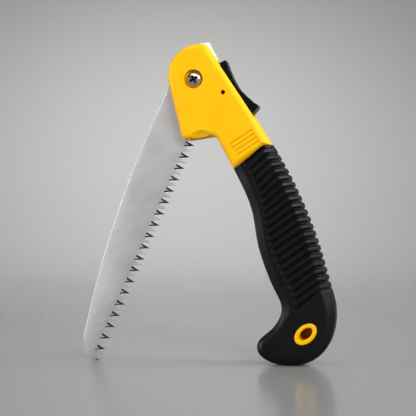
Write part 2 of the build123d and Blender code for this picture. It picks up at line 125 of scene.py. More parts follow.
POMMEL_STATIONS = 70            # rows of points from the last groove to the toe
POMMEL_BAND = 10.6              # the smooth front band's width over the pommel
POMMEL_BEND = 4.0               # the bend's distance from the back there

EYE_CENTRE = (75.2, -169.1)
EYE_TILT = math.radians(42.5)   # of the oval's long axis
EYE_OUTER = (8.6, 5.85)         # half axes of the shell's oval boss
EYE_GAP = 0.3                   # between the rubber and the boss
FAR_SCREWS = [(66.0, -98.0), (83.5, -152.5)]
FAR_SCREW_HOLE_R = 3.2
EYE_CUT = (1.0, 20.0)           # where the cutting tools start and end, from the middle out
FAR_SCREW_CUT = (3.0, 20.0)

BLADE_ANGLE = math.radians(-114.1)    # of the blade's own frame: X along it, Z towards the teeth
TANG_R = 17.5
NOTCH_DEPTH = 3.0               # the tang's two notches for the lever's hook
NOTCH_WIDTH = 4.6
NOTCH_ANGLES = (98.3, 273.3)
PIVOT_HOLE_R = 4.06
SPINE = [(8.0, -15.2), (108.0, -13.2), (191.0, -0.6)]    # an arc through three points
TIP = [(191.0, -0.6), (197.4, 3.6), (202.7, 11.0), (202.0, 14.6), (200.4, 16.3)]
SPINE_BEVEL = 0.9               # width of the bevels along the spine and the tip
SPINE_BEVEL_DEPTH = 0.3
TOOTH_LINE = 16.9               # the tips' distance from the pivot, across the blade
TOOTH_PITCH = 25.4 / 6          # six teeth to the inch
TOOTH_DEPTH = 6.0
HANDLE_FLANK = math.radians(7.0)
TIP_FLANK = math.radians(26.5)
FIRST_TOOTH = 40.8              # its tip
TOOTH_COUNT = 38
TOOTH_BEVELS = (1.15, 0.92)     # widths of the ground bevels: handle flank, tip flank
HEEL_START = (14.6, 9.6)        # where the tang's round starts behind the teeth

SCREW_HEAD_R = 5.0
SCREW_HEAD_HEIGHT = 2.6
SCREW_RIM = 0.7                 # height of the head's upright rim, under the dome
SCREW_SHANK_R = 2.5
SCREW_CROSS = (3.3, 0.75)       # half length and half width of the cross recess's arms
SCREW_CROSS_DEPTH = 2.3
SCREW_CROSS_TURN = math.radians(30.0)

BACK_ANGLE = math.radians(-56.5)      # the head's back edge
BACK_OUTWARD = np.array([-math.sin(BACK_ANGLE), 0.0, math.cos(BACK_ANGLE)])
LEVER_EDGE_ROUND = 0.35
SPRING_FOOT = (26.77, 0.0, -22.44)
SPRING_HEIGHT = 8.6
SPRING_R = 2.7                  # outside
SPRING_WIRE = 0.7               # the wire's thickness
SPRING_TURNS = 5

# Camera, from the pivot, and its turn from square to the near side.
CAMERA_TARGET = (8.12, 0.0, -86.21)
CAMERA_DISTANCE = 0.8
CAMERA_TURN = math.radians(10.0)
FOCAL_PIXELS = 1184.0
IMAGE_PIXELS = 416.0


# ---- helpers: points and curves --------------------------------------------------------

def place(points):
    """Pivot-frame millimetres to row-frame metres."""
    return np.asarray(points, float) * MM + np.array(PIVOT)


def smooth_step(x):
    """Rises smoothly from 0 to 1 as x does."""
    x = np.clip(x, 0.0, 1.0)
    return x * x * (3 - 2 * x)


def natural_spline(knots, values, at):
    """A natural cubic spline through values at knots, read at the given places."""
    knots, values, at = np.asarray(knots, float), np.asarray(values, float), np.asarray(at, float)
    count = len(knots)
    gaps = np.diff(knots)
    matrix = np.eye(count)
    right = np.zeros(values.shape)
    for row in range(1, count - 1):
        matrix[row, row - 1:row + 2] = gaps[row - 1], 2 * (gaps[row - 1] + gaps[row]), gaps[row]
        right[row] = 6 * ((values[row + 1] - values[row]) / gaps[row]
                          - (values[row] - values[row - 1]) / gaps[row - 1])
    bend = np.linalg.solve(matrix, right)
    piece = np.clip(np.searchsorted(knots, at) - 1, 0, count - 2)
    gap = gaps[piece][:, None]
    after = (at - knots[piece])[:, None]
    before = gap - after
    return ((bend[piece] * before**3 + bend[piece + 1] * after**3) / (6 * gap)
            + (values[piece] / gap - bend[piece] * gap / 6) * before
            + (values[piece + 1] / gap - bend[piece + 1] * gap / 6) * after)


def lengths_along(points):
    """Each point's distance from the first one, along the line through them all."""
    return np.concatenate([[0.0], np.cumsum(np.linalg.norm(np.diff(points, axis=0), axis=1))])


def spline_through(points, count):
    """Points spread evenly in chord length along a smooth curve through a few points."""
    points = np.asarray(points, float)
    knots = lengths_along(points)
    return natural_spline(knots, points, np.linspace(0, knots[-1], count))


def arc_through(start, middle_point, end, count):
    """Points along the circle arc through three points."""
    (ax, ay), (bx, by), (cx, cy) = start, middle_point, end
    d = 2 * (ax * (by - cy) + bx * (cy - ay) + cx * (ay - by))
    a2, b2, c2 = ax * ax + ay * ay, bx * bx + by * by, cx * cx + cy * cy
    ux = (a2 * (by - cy) + b2 * (cy - ay) + c2 * (ay - by)) / d
    uy = (a2 * (cx - bx) + b2 * (ax - cx) + c2 * (bx - ax)) / d
    radius = math.hypot(ax - ux, ay - uy)
    first = math.atan2(ay - uy, ax - ux)
    last = math.atan2(cy - uy, cx - ux)
    turn = (last - first + math.pi) % (2 * math.pi) - math.pi
    angles = first + np.linspace(0, turn, count)
    return np.stack([ux + radius * np.cos(angles), uy + radius * np.sin(angles)], 1)


def circle_points(radius, count, centre=(0.0, 0.0)):
    """Points round a circle, without the first one again at the end."""
    angles = np.linspace(0, 2 * math.pi, count, endpoint=False)
    return np.stack([centre[0] + radius * np.cos(angles), centre[1] + radius * np.sin(angles)], 1)


def turned(points, angle):
    """2-D points turned about the origin."""
    points = np.asarray(points, float)
    c, s = math.cos(angle), math.sin(angle)
    return points @ np.array([[c, s], [-s, c]])


def at_depth(points, y):
    """2-D points, X and Z, at one depth."""
    points = np.asarray(points, float)
    return np.stack([points[:, 0], np.full(len(points), y), points[:, 1]], 1)


# ---- helpers: pieces ---------------------------------------------------------------------

def make_mesh(name, points, faces):
    """A mesh from pivot-frame points, its double points merged and its faces turned outwards."""
    mesh = bpy.data.meshes.new(name)
    mesh.from_pydata([tuple(p) for p in place(points)], [], [tuple(int(i) for i in f) for f in faces])
    work = bmesh.new()
    work.from_mesh(mesh)
    bmesh.ops.remove_doubles(work, verts=work.verts, dist=1e-6)
    bmesh.ops.dissolve_degenerate(work, edges=work.edges, dist=1e-7)
    bmesh.ops.recalc_face_normals(work, faces=work.faces)
    work.to_mesh(mesh)
    work.free()
    obj = bpy.data.objects.new(name, mesh)
    scene.collection.objects.link(obj)
    return obj


def cut(obj, *tools):
    """Takes closed tool objects out of a closed object, and deletes the tools."""
    for tool in tools:
        boolean = obj.modifiers.new("cut", "BOOLEAN")
        boolean.operation = "DIFFERENCE"
        boolean.solver = "EXACT"
        boolean.object = tool
    bpy.context.view_layer.update()
    mesh = bpy.data.meshes.new_from_object(obj.evaluated_get(bpy.context.evaluated_depsgraph_get()))
    obj.modifiers.clear()
    obj.data = mesh
    for tool in tools:
        bpy.data.objects.remove(tool)


def ring_faces(first, second, count):
    """A strip of faces between two closed rings of points, from their first indices."""
    faces = []
    for index in range(count):
        after = (index + 1) % count
        faces.append([first + index, first + after, second + after, second + index])
    return faces


def prism(name, outline, y_low, y_high):
    """A closed prism through the saw's thickness, as a cutting tool."""
    count = len(outline)
    points = np.concatenate([at_depth(outline, y_low), at_depth(outline, y_high)])
    faces = [list(range(count)), list(range(2 * count - 1, count - 1, -1))]
    faces += ring_faces(0, count, count)
    return make_mesh(name, points, faces)


def smooth_by_angle(obj, degrees):
    """Smooth shading, with edges sharper than the angle left sharp."""
    mesh = obj.data
    mesh.polygons.foreach_set("use_smooth", [True] * len(mesh.polygons))
    work = bmesh.new()
    work.from_mesh(mesh)
    limit = math.radians(degrees)
    for edge in work.edges:
        edge.smooth = len(edge.link_faces) == 2 and edge.calc_face_angle(math.pi) < limit
    work.to_mesh(mesh)
    work.free()
    return obj


def finish_piece(obj, body, slot, material, *replaced):
    """What every detailed piece gets: its material, its body and the CAD nodes it stands for."""
    obj.data.materials.clear()
    obj.data.materials.append(material)
    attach(obj, body)
    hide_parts(*replaced)


# ---- materials ------------------------------------------------------------------------------

class Surface:
    """A Principled material while its nodes are being put together."""

    def __init__(self, name, colour, roughness, metallic=0.0, **sockets):
        self.material = bpy.data.materials.new(name)
        self.material.use_nodes = True
        self.tree = self.material.node_tree
        self.shader = self.tree.nodes["Principled BSDF"]
        self.place = self.tree.nodes.new("ShaderNodeTexCoord").outputs["Object"]
        self.shader.inputs["Base Color"].default_value = (*colour, 1)
        self.shader.inputs["Roughness"].default_value = roughness
        self.shader.inputs["Metallic"].default_value = metallic
        for socket, value in sockets.items():
            self.shader.inputs[socket.replace("_", " ")].default_value = value

    def noise(self, scale, detail=3.0, stretch=(1, 1, 1), turn=0.0):
        """Noise in object space; stretch scales each axis after a turn about Y."""
        turned_place = self.place
        if turn:
            turned_place = self.mapping(turned_place, rotation=(0, turn, 0))
        stretched = self.mapping(turned_place, scale=stretch)
        node = self.tree.nodes.new("ShaderNodeTexNoise")
        node.inputs["Scale"].default_value = scale
        node.inputs["Detail"].default_value = detail
        self.tree.links.new(stretched, node.inputs["Vector"])
        return node.outputs["Fac"]

    def mapping(self, vector, scale=(1, 1, 1), rotation=(0, 0, 0)):
        """A vector turned and scaled."""
        node = self.tree.nodes.new("ShaderNodeMapping")
        node.inputs["Scale"].default_value = scale
        node.inputs["Rotation"].default_value = rotation
        self.tree.links.new(vector, node.inputs["Vector"])
        return node.outputs["Vector"]

    def ramp(self, factor, low, high, start=0.3, end=0.7):
        """A factor turned into a value or colour between two ends."""
        is_value = isinstance(low, float)
        node = self.tree.nodes.new("ShaderNodeMapRange" if is_value else "ShaderNodeValToRGB")
        self.tree.links.new(factor, node.inputs[0])
        if is_value:
            node.inputs["From Min"].default_value = start
            node.inputs["From Max"].default_value = end
            node.inputs["To Min"].default_value = low
            node.inputs["To Max"].default_value = high
            return node.outputs["Result"]
        first, last = node.color_ramp.elements
        first.position, first.color = start, (*low, 1)
        last.position, last.color = end, (*high, 1)
        return node.outputs["Color"]

    def set(self, socket, output):
        """Feeds an output into one of the shader's sockets."""
        self.tree.links.new(output, self.shader.inputs[socket])

    def bump(self, height, distance, strength=1.0):
        """Adds a bump, in metres, on top of any bump already there."""
        node = self.tree.nodes.new("ShaderNodeBump")
        node.inputs["Strength"].default_value = strength
        node.inputs["Distance"].default_value = distance
        self.tree.links.new(height, node.inputs["Height"])
        before = self.shader.inputs["Normal"].links
        if before:
            self.tree.links.new(before[0].from_socket, node.inputs["Normal"])
        self.tree.links.new(node.outputs["Normal"], self.shader.inputs["Normal"])


def yellow_plastic():
    """Moulded nylon with a fine spark-eroded texture, scuffed here and there."""
    surface = Surface("yellow_plastic", (0.92, 0.49, 0.002), 0.42, Specular_IOR_Level=0.14)
    surface.set("Base Color", surface.ramp(surface.noise(60), (0.90, 0.47, 0.001), (0.94, 0.51, 0.003)))
    surface.set("Roughness", surface.ramp(surface.noise(900, 6), 0.36, 0.50))
    surface.bump(surface.noise(3500, 2), 0.00002, 0.5)
    surface.bump(surface.noise(120, 2, stretch=(1, 1, 6), turn=0.6), 0.00003, 0.15)
    return surface.material


def black_rubber():
    """Moulded soft rubber: near-black, matt with a fine grain, handled smoother in patches."""
    surface = Surface("black_rubber", (0.004, 0.004, 0.005), 0.4, Specular_IOR_Level=0.16)
    patches = surface.noise(250, 5)
    surface.set("Base Color", surface.ramp(patches, (0.003, 0.003, 0.0035), (0.005, 0.005, 0.006)))
    surface.set("Roughness", surface.ramp(surface.noise(80, 4), 0.34, 0.46))
    surface.bump(surface.noise(2600, 3), 0.00003, 0.5)
    return surface.material


def lever_plastic():
    """Glass-filled black plastic, harder and a little glossier than the rubber."""
    surface = Surface("lever_plastic", (0.004, 0.004, 0.004), 0.3, Specular_IOR_Level=0.15)
    patches = surface.noise(300, 4)
    surface.set("Base Color", surface.ramp(patches, (0.003, 0.003, 0.003), (0.006, 0.006, 0.006)))
    surface.set("Roughness", surface.ramp(surface.noise(700, 4), 0.22, 0.36))
    surface.bump(surface.noise(2200, 3), 0.00003, 0.4)
    return surface.material


def blade_steel():
    """Chromed steel ground across the blade: fine lines square to the tooth line, faint tarnish."""
    surface = Surface("blade_steel", (0.61, 0.60, 0.61), 0.54, 1.0)
    across = surface.noise(60, 8, stretch=(40, 1, 1), turn=-BLADE_ANGLE)
    surface.set("Base Color", surface.ramp(across, (0.55, 0.54, 0.55), (0.67, 0.66, 0.67)))
    surface.set("Roughness", surface.ramp(surface.noise(50, 5), 0.49, 0.59))
    surface.bump(across, 0.00002, 0.25)
    surface.bump(surface.noise(1500, 2), 0.00001, 0.15)
    return surface.material


def bevel_painted_shade():
    """The teeth's ground bevels, dark steel as painted shade for the shadow these facets lie in."""
    surface = Surface("bevel_painted_shade", (0.06, 0.06, 0.062), 0.4, 1.0)
    lines = surface.noise(300, 6, stretch=(6, 1, 1), turn=-BLADE_ANGLE + 0.5)
    surface.set("Base Color", surface.ramp(lines, (0.035, 0.035, 0.037), (0.10, 0.098, 0.095)))
    surface.set("Roughness", surface.ramp(surface.noise(900, 3), 0.32, 0.5))
    surface.bump(lines, 0.00002, 0.3)
    return surface.material


def metal(name, colour, roughness, grain, wear):
    """A plain metal part: base colour with a tarnish, roughness in patches, and a drawn grain."""
    surface = Surface(name, colour, roughness, 1.0)
    darker = tuple(c * (1 - wear) for c in colour)
    surface.set("Base Color", surface.ramp(surface.noise(400, 5), darker, colour))
    surface.set("Roughness", surface.ramp(surface.noise(700, 4), roughness * 0.8, roughness * 1.3))
    surface.bump(surface.noise(grain, 3, stretch=(1, 8, 1)), 0.00001, 0.3)
    return surface.material


def washer_plastic():
    """Milky acetal, softly lit through."""
    surface = Surface("washer_plastic", (0.75, 0.74, 0.70), 0.35,
                      Subsurface_Weight=0.3, Subsurface_Scale=0.001)
    surface.set("Base Color", surface.ramp(surface.noise(300), (0.70, 0.69, 0.64), (0.78, 0.77, 0.73)))
    surface.set("Roughness", surface.ramp(surface.noise(900), 0.3, 0.42))
    surface.bump(surface.noise(2000), 0.00002, 0.3)
    return surface.material


MATERIALS = {
    "yellow_plastic": yellow_plastic(),
    "black_rubber": black_rubber(),
    "lever_plastic": lever_plastic(),
    "blade_steel": blade_steel(),
    # painted shade: the teeth's bevels get dark steel standing for the shadow they lie in
    "bevel_painted_shade": bevel_painted_shade(),
    "liner_steel": metal("liner_steel", (0.92, 0.91, 0.93), 0.65, 600, 0.06),
    "plated_steel": metal("plated_steel", (0.72, 0.70, 0.66), 0.20, 900, 0.18),
    # dark steel as painted shade: on the cross recess and the lock pin it stands for the shade in these
    # hollows
    "steel_painted_shade": metal("steel_painted_shade", (0.03, 0.03, 0.032), 0.42, 900, 0.2),
    "spring_steel": metal("spring_steel", (0.45, 0.45, 0.46), 0.30, 900, 0.15),
    "bushing_brass": metal("bushing_brass", (0.72, 0.50, 0.22), 0.30, 700, 0.2),
    "washer_plastic": washer_plastic(),
}

CAD_LOOKS = {
    "yellow_plastic": ["shell_near", "shell_far"],
    "liner_steel": ["head_liner"],
    "plated_steel": ["pivot_nut", "pivot_screw_washer", "shell_screw_neck", "shell_screw_grip",
                     "shell_screw_pommel"],
    # painted shade: the lock pin is dark to stand for the shade inside its hole
    "steel_painted_shade": ["lock_pin"],
    "bushing_brass": ["pivot_bushing"],
    "washer_plastic": ["blade_washer_near", "blade_washer_far"],
    "lever_plastic": ["lock_lever"],
    "spring_steel": ["lock_spring"],
}
for look, names in CAD_LOOKS.items():
    for name in names:
        nodes[name].data.materials.clear()
        nodes[name].data.materials.append(MATERIALS[look])


# ---- grips ---------------------------------------------------------------------------------

OUTLINE = spline_through(GRIP_OUTLINE, 4001)
OUTLINE_LENGTH = lengths_along(OUTLINE)
GRIP_LENGTH = OUTLINE_LENGTH[-1]
TOE = OUTLINE_LENGTH[np.argmin(np.linalg.norm(OUTLINE - TOE_POINT, axis=1))]

# Places along a row of points: from the front outline to the groove's front end, and on to the back.
FRONT_STEPS = 1 - np.cos(np.linspace(0, math.pi / 2, 14))
GROOVE_STEPS = np.concatenate([
    np.linspace(0, 0.10, 6)[1:],
    np.linspace(0.10, 0.72, 16)[1:],
    0.72 + 0.28 * np.sin(np.linspace(0, math.pi / 2, 18))[1:],
])


def outline_at(length):
    """The point on the grip's outline at a length along it from the front of the end line."""
    return np.array([np.interp(length, OUTLINE_LENGTH, OUTLINE[:, axis]) for axis in (0, 1)])


def rounded_path(points, round_by, shares):
    """Points at shares of the length of a bent line, its one corner rounded by a parabola."""
    start, corner, end = (np.asarray(p, float) for p in points)
    before, after = corner - start, end - corner
    before_length, after_length = np.linalg.norm(before), np.linalg.norm(after)
    near = corner - before / before_length * min(round_by, 0.6 * before_length)
    past = corner + after / after_length * min(round_by, 0.6 * after_length)
    t = np.linspace(0, 1, 9)[:, None]
    bend = (1 - t) ** 2 * near + 2 * t * (1 - t) * corner + t**2 * past
    line = np.concatenate([[start], bend, [end]])
    length = lengths_along(line)
    at = shares * length[-1]
    return np.stack([np.interp(at, length, line[:, axis]) for axis in (0, 1)], 1)


def station_grooves():
    """Where the rows of points lie down to the last groove, as groove numbers."""
    grooves = [FIRST_STATION + step for step in (0.0, 0.03, 0.07, 0.12)]
    steps = [-step for step in reversed(GROOVE_SIDE)] + [0.0] + GROOVE_SIDE + [0.5]
    for groove in range(1, GROOVE_COUNT + 1):
        grooves += [groove + step for step in steps
                    if FIRST_STATION + 0.15 < groove + step <= GROOVE_COUNT + 0.5]
    return grooves


def station(groove, share):
    """One row of points across the grip, from its front outline to its back outline.

    A groove number places it down to the last groove; share runs on from there to the toe."""
    front_length = FRONT_PITCH * (groove - FIRST_STATION)
    back_length = max(BACK_PITCH * (groove - BACK_START), 0.0)
    front_length += share * (TOE - front_length)
    back_length += share * (GRIP_LENGTH - TOE - back_length)
    front = outline_at(front_length)
    back = outline_at(GRIP_LENGTH - back_length)
    knots = sorted(GROOVE_ENDS)
    groove_end = natural_spline(knots, [GROOVE_ENDS[k] for k in knots], [min(groove, GROOVE_COUNT)])[0]
    bend = np.array(GRIP_END_BEND) if groove == FIRST_STATION else back + BACK_BEND
    if groove > GROOVE_COUNT:
        # Past the last groove the row eases into the pommel's own front band and bend.
        last_front = outline_at(FRONT_PITCH * (GROOVE_COUNT - FIRST_STATION))
        length = np.linalg.norm(back - front)
        across = (back - front) / max(length, 1e-9)
        pommel_end = front + across * min(POMMEL_BAND, 0.4 * length)
        pommel_bend = back - across * min(POMMEL_BEND, 0.25 * length)
        ease = smooth_step(share / 0.25)
        groove_end = (1 - ease) * (front + groove_end - last_front) + ease * pommel_end
        bend = (1 - ease) * bend + ease * pommel_bend
    first = front + (groove_end - front) * FRONT_STEPS[:, None]
    if np.linalg.norm(back - groove_end) < 1e-6:
        return np.concatenate([first, np.repeat(groove_end[None], len(GROOVE_STEPS), 0)])
    return np.concatenate([first, rounded_path((groove_end, bend, back), GROOVE_BEND_ROUND, GROOVE_STEPS)])


def outline_distance(points, at_once=2000):
    """Each point's distance from the grip's side outline, and the way out of it there."""
    along = np.gradient(OUTLINE, axis=0)
    along /= np.linalg.norm(along, axis=1)[:, None]
    outward = np.stack([along[:, 1], -along[:, 0]], 1)
    distance, way = np.empty(len(points)), np.empty((len(points), 2))
    for first in range(0, len(points), at_once):
        here = slice(first, first + at_once)
        gaps = np.linalg.norm(points[here, None] - OUTLINE[None], axis=2)
        distance[here] = gaps.min(1)
        way[here] = outward[gaps.argmin(1)]
    return distance, way


def half_thickness(points):
    """The near half's thickness away from its edges: it thins towards the grip's end."""
    start, bend = np.array(GRIP_OUTLINE[0]), np.array(GRIP_END_BEND)
    across = (bend - start) / np.linalg.norm(bend - start)
    down = np.array([across[1], -across[0]])
    past_bend = points[:, 0] - bend[0]
    below_front = np.maximum((points - start) @ down, 0.0)
    below_back = np.maximum(bend[1] + GRIP_END_SLOPE * past_bend - points[:, 1], 0.0)
    below = np.where(past_bend > 0, np.minimum(below_front + GRIP_END_BLEND, below_back), below_front)
    end_round = GRIP_END_R - np.sqrt(GRIP_END_R**2 - np.maximum(GRIP_END_R - below, 0.0) ** 2)
    return (GRIP_HALF - GRIP_END_DROP * (1 - smooth_step(below / GRIP_RAMP))
            - GRIP_END_ROUND * end_round)


def groove_depth(groove, steps, in_edge):
    """How deep one row of points lies in its groove, by place along it and place in the rounded edge."""
    off = abs(groove - max(round(groove), 1))
    profile = 1 - smooth_step((off - GROOVE_FLAT) / (GROOVE_HALF - GROOVE_FLAT))
    along = smooth_step(steps / 0.05)
    if round(groove) >= GROOVE_COUNT:
        along = along * (1 - LAST_GROOVE_LOSS * smooth_step((steps - 0.4) / 0.3))
    near_end = GROOVE_DEPTH_END + (GROOVE_DEPTH_EDGE - GROOVE_DEPTH_END) * smooth_step((groove - 1) / 2.5)
    full = GROOVE_DEPTH + (near_end - GROOVE_DEPTH) * smooth_step(in_edge / 0.5)
    return full * profile * along


def smooth_skin(flat, ribbed):
    """The near half's skin before the grooves are cut, from its points seen square on.

    Returns the points, their normals and how far into the rounded edge each lies, from 0 to 1. The
    edge is an ellipse, cut flat between FACET's angles where ribbed is 1."""
    distance, way = outline_distance(flat)
    in_edge = np.clip(1 - distance / GRIP_EDGE_R, 0.0, 1.0)
    out_of_face = np.sqrt(1 - in_edge**2)
    cut_flat = np.interp(in_edge, np.sin(FACET), np.cos(FACET))
    in_facet = (in_edge > math.sin(FACET[0])) & (in_edge < math.sin(FACET[1]))
    rise = out_of_face - np.where(in_facet, (out_of_face - cut_flat) * ribbed, 0.0)
    depth = half_thickness(flat) - GRIP_EDGE_DEPTH + GRIP_EDGE_DEPTH * rise
    points = np.stack([flat[:, 0], -depth, flat[:, 1]], 1)
    normals = np.stack([way[:, 0] * in_edge, -out_of_face, way[:, 1] * in_edge], 1)
    return points, normals, in_edge


def edge_wall(skin, outer, inner, normal):
    """The points from one end of a row down to the parting line, and where the inner skin ends."""
    slot_way = np.array([-math.sin(FOLDED_ANGLE), math.cos(FOLDED_ANGLE)])
    end_y = -SLOT_LIP if skin[[0, 2]] @ slot_way < SLOT_FLOOR else -PARTING_GAP
    wall = []
    for height, inset in WALL_STEPS:
        x, z = outer[[0, 2]] - normal[[0, 2]] * inset
        wall.append((x, end_y + height * (skin[1] - end_y), z))
    return wall, (inner[0], end_y, inner[2])


def grip_half_points():
    """The outer skin of the near half as rows of points, and the inner skin behind it."""
    stations = [(groove, 0.0) for groove in station_grooves()]
    last = stations[-1][0]
    stations += [(last, share) for share in np.linspace(0, 1, POMMEL_STATIONS + 1)[1:]]
    steps = np.concatenate([np.zeros(len(FRONT_STEPS)), GROOVE_STEPS])
    width = len(steps)
    flat = np.concatenate([station(groove, share) for groove, share in stations])
    ribbed = np.repeat([1 - smooth_step(share / 0.2) for _, share in stations], width)
    skin, normals, in_edge = smooth_skin(flat, ribbed)
    outer_rows, inner_rows = [], []
    for row, (groove, share) in enumerate(stations):
        here = slice(row * width, (row + 1) * width)
        depth = groove_depth(groove, steps, in_edge[here]) if share == 0 else np.zeros(width)
        outer = skin[here] - normals[here] * depth[:, None]
        inner = skin[here] - normals[here] * GRIP_SKIN
        front_wall, front_inner = edge_wall(skin[here][0], outer[0], inner[0], normals[here][0])
        back_wall, back_inner = edge_wall(skin[here][-1], outer[-1], inner[-1], normals[here][-1])
        outer_rows.append(np.concatenate([front_wall[::-1], outer, back_wall]))
        inner_rows.append(np.concatenate([[front_inner], inner, [back_inner]]))
    return outer_rows, inner_rows


def grid_faces(rows, start, flip):
    """Faces between rows of points that follow each other in one list, from its index start."""
    faces = []
    width = len(rows[0])
    for row in range(len(rows) - 1):
        for column in range(width - 1):
            a = start + row * width + column
            face = [a, a + 1, a + width + 1, a + width]
            faces.append(face[::-1] if flip else face)
    return faces


def grip_half(name, side):
    """One rubber half as a closed skin: outer rows, inner rows, and the rim that joins them."""
    outer, inner = grip_half_points()
    points = np.concatenate(outer + inner)
    points[:, 1] *= side
    outer_width, inner_width = len(outer[0]), len(inner[0])
    inner_start = len(outer) * outer_width
    faces = grid_faces(outer, 0, False) + grid_faces(inner, inner_start, True)
    for row in range(len(outer) - 1):
        for outer_column, inner_column in ((0, 0), (outer_width - 1, inner_width - 1)):
            a = row * outer_width + outer_column
            b = inner_start + row * inner_width + inner_column
            faces.append([a, a + outer_width, b + inner_width, b])
    first_outer = list(range(outer_width))
    first_inner = list(range(inner_start, inner_start + inner_width))
    faces.append(first_outer + first_inner[::-1])
    last_outer = list(range(inner_start - outer_width, inner_start))
    last_inner = list(range(len(points) - inner_width, len(points)))
    faces.append(last_outer + last_inner[::-1])
    return make_mesh(name, points, faces)


def eye_prism(side):
    """The oval that the lanyard eye's boss fills, as a cutting tool."""
    oval = circle_points(1.0, 96) * (np.array(EYE_OUTER) + EYE_GAP)
    oval = turned(oval, EYE_TILT) + EYE_CENTRE
    return prism("eye_tool", oval, *sorted(side * y for y in EYE_CUT))


def screw_prism(centre):
    """A shell screw's hole through the far half, as a cutting tool."""
    return prism("screw_tool", circle_points(FAR_SCREW_HOLE_R, 48, centre), *FAR_SCREW_CUT)


def rubber_grip(name, side, replaced):
    """One rubber half: side is 1 for the near one, -1 for the far one, which has the screw holes."""
    grip = grip_half(name, side)
    screw_holes = [screw_prism(centre) for centre in FAR_SCREWS] if side < 0 else []
    cut(grip, eye_prism(-side), *screw_holes)
    smooth_by_angle(grip, 40)
    finish_piece(grip, "frame", "black_rubber", MATERIALS["black_rubber"], replaced)


rubber_grip("rubber_grip_near", 1, "grip_near")
rubber_grip("rubber_grip_far", -1, "grip_far")


# ---- blade ---------------------------------------------------------------------------------

def tooth_flanks(index):
    """The two gullets and the tip of one tooth, in the blade's frame."""
    tip = FIRST_TOOTH + index * TOOTH_PITCH
    return [
        (tip - TOOTH_DEPTH * math.tan(HANDLE_FLANK), TOOTH_LINE - TOOTH_DEPTH),
        (tip, TOOTH_LINE),
        (tip + TOOTH_DEPTH * math.tan(TIP_FLANK), TOOTH_LINE - TOOTH_DEPTH),
    ]


def inside_tooth(points):
    """The same tooth's outline where its ground bevels meet the flat side."""
    (ax, ay), (bx, by), (cx, cy) = points
    left = np.array([bx - ax, by - ay]) / math.hypot(bx - ax, by - ay)
    right = np.array([cx - bx, cy - by]) / math.hypot(cx - bx, cy - by)
    left_in = np.array([left[1], -left[0]]) * TOOTH_BEVELS[0]
    right_in = np.array([right[1], -right[0]]) * TOOTH_BEVELS[1]
    low_left = np.array([ax, ay]) + left_in
    low_right = np.array([cx, cy]) + right_in
    matrix = np.array([left, -right]).T
    reach = np.linalg.solve(matrix, (np.array([bx, by]) + right_in) - low_left)[0]
    return [tuple(low_left), tuple(low_left + left * reach), tuple(low_right)]


def tang_outline(count=90):
    """The round tang from the teeth's heel to the spine, with its two notches."""
    heel = math.atan2(HEEL_START[1], HEEL_START[0])
    start = math.atan2(SPINE[0][1], SPINE[0][0]) + 2 * math.pi
    tang = []
    for angle in np.linspace(heel, start, count)[:-1]:
        radius = TANG_R
        for notch in NOTCH_ANGLES:
            off = abs((math.degrees(angle) - notch + 180) % 360 - 180)
            if math.radians(off) * TANG_R < NOTCH_WIDTH / 2:
                radius = TANG_R - NOTCH_DEPTH
        tang.append((radius * math.cos(angle), radius * math.sin(angle)))
    return tang


def blade_outlines():
    """The blade's outlines on its near and far sides, as matching points, and how many lead the teeth.

    The teeth are ground from the near side and the far side by turns; the last one isn't ground."""
    spine = arc_through(*SPINE, 40)
    tip = spline_through(TIP, 24)
    before_teeth = [tuple(p) for p in spine] + [tuple(p) for p in tip[1:]]
    last = tooth_flanks(TOOTH_COUNT - 1)[::-1][1:]
    near, far = list(last), list(last)
    for index in range(TOOTH_COUNT - 2, -1, -1):
        flanks = tooth_flanks(index)[::-1]
        inner = inside_tooth(tooth_flanks(index))[::-1]
        near += inner if index % 2 == 0 else flanks
        far += flanks if index % 2 == 0 else inner
    tang = tang_outline()
    return before_teeth + near + tang, before_teeth + far + tang, len(before_teeth)


def flat_face(outline, hole, start_outline, start_hole):
    """Triangles that fill an outline round a hole, as indices from where each one's points start."""
    loops = [[Vector((x, z, 0)) for x, z in outline], [Vector((x, z, 0)) for x, z in hole]]
    lookup = list(range(start_outline, start_outline + len(outline)))
    lookup += list(range(start_hole, start_hole + len(hole)))
    return [[lookup[i] for i in face] for face in tessellate_polygon(loops)]


def inset_edge(outline, count):
    """An outline with its first points, the spine's and the tip's, moved in by the bevel's width."""
    inset = [list(p) for p in outline]
    for index in range(count):
        ahead = np.array(outline[index + 1]) - np.array(outline[max(index - 1, 0)])
        inward = np.array([-ahead[1], ahead[0]]) / np.linalg.norm(ahead)
        fade = min(index / 3, 1.0) * min((count - 1 - index) / 3, 1.0)
        inset[index][0] += inward[0] * SPINE_BEVEL * fade
        inset[index][1] += inward[1] * SPINE_BEVEL * fade
    return inset


def saw_blade():
    """The blade as four rings, side to side, with flat sides round the pivot hole."""
    near, far, before_teeth = blade_outlines()
    hole = circle_points(PIVOT_HOLE_R, 48)
    count, hole_count = len(near), len(hole)
    inset_near, inset_far = inset_edge(near, before_teeth), inset_edge(far, before_teeth)
    points = []
    for ring, side, bevel in ((inset_near, -1, 0.0), (near, -1, SPINE_BEVEL_DEPTH),
                              (far, 1, SPINE_BEVEL_DEPTH), (inset_far, 1, 0.0)):
        for index, corner in enumerate(ring):
            depth = BLADE_HALF - (bevel if index < before_teeth else 0.0)
            x, z = turned([corner], BLADE_ANGLE)[0]
            points.append((x, side * depth, z))
    hole_start = len(points)
    for depth in (-BLADE_HALF, BLADE_HALF):
        points += [tuple(p) for p in at_depth(turned(hole, BLADE_ANGLE), depth)]
    faces = flat_face(inset_near, hole, 0, hole_start)
    faces += [face[::-1] for face in flat_face(inset_far, hole, 3 * count, hole_start + hole_count)]
    for ring in range(3):
        faces += ring_faces(ring * count, (ring + 1) * count, count)
    faces += ring_faces(hole_start, hole_start + hole_count, hole_count)
    return make_mesh("saw_blade", points, faces)


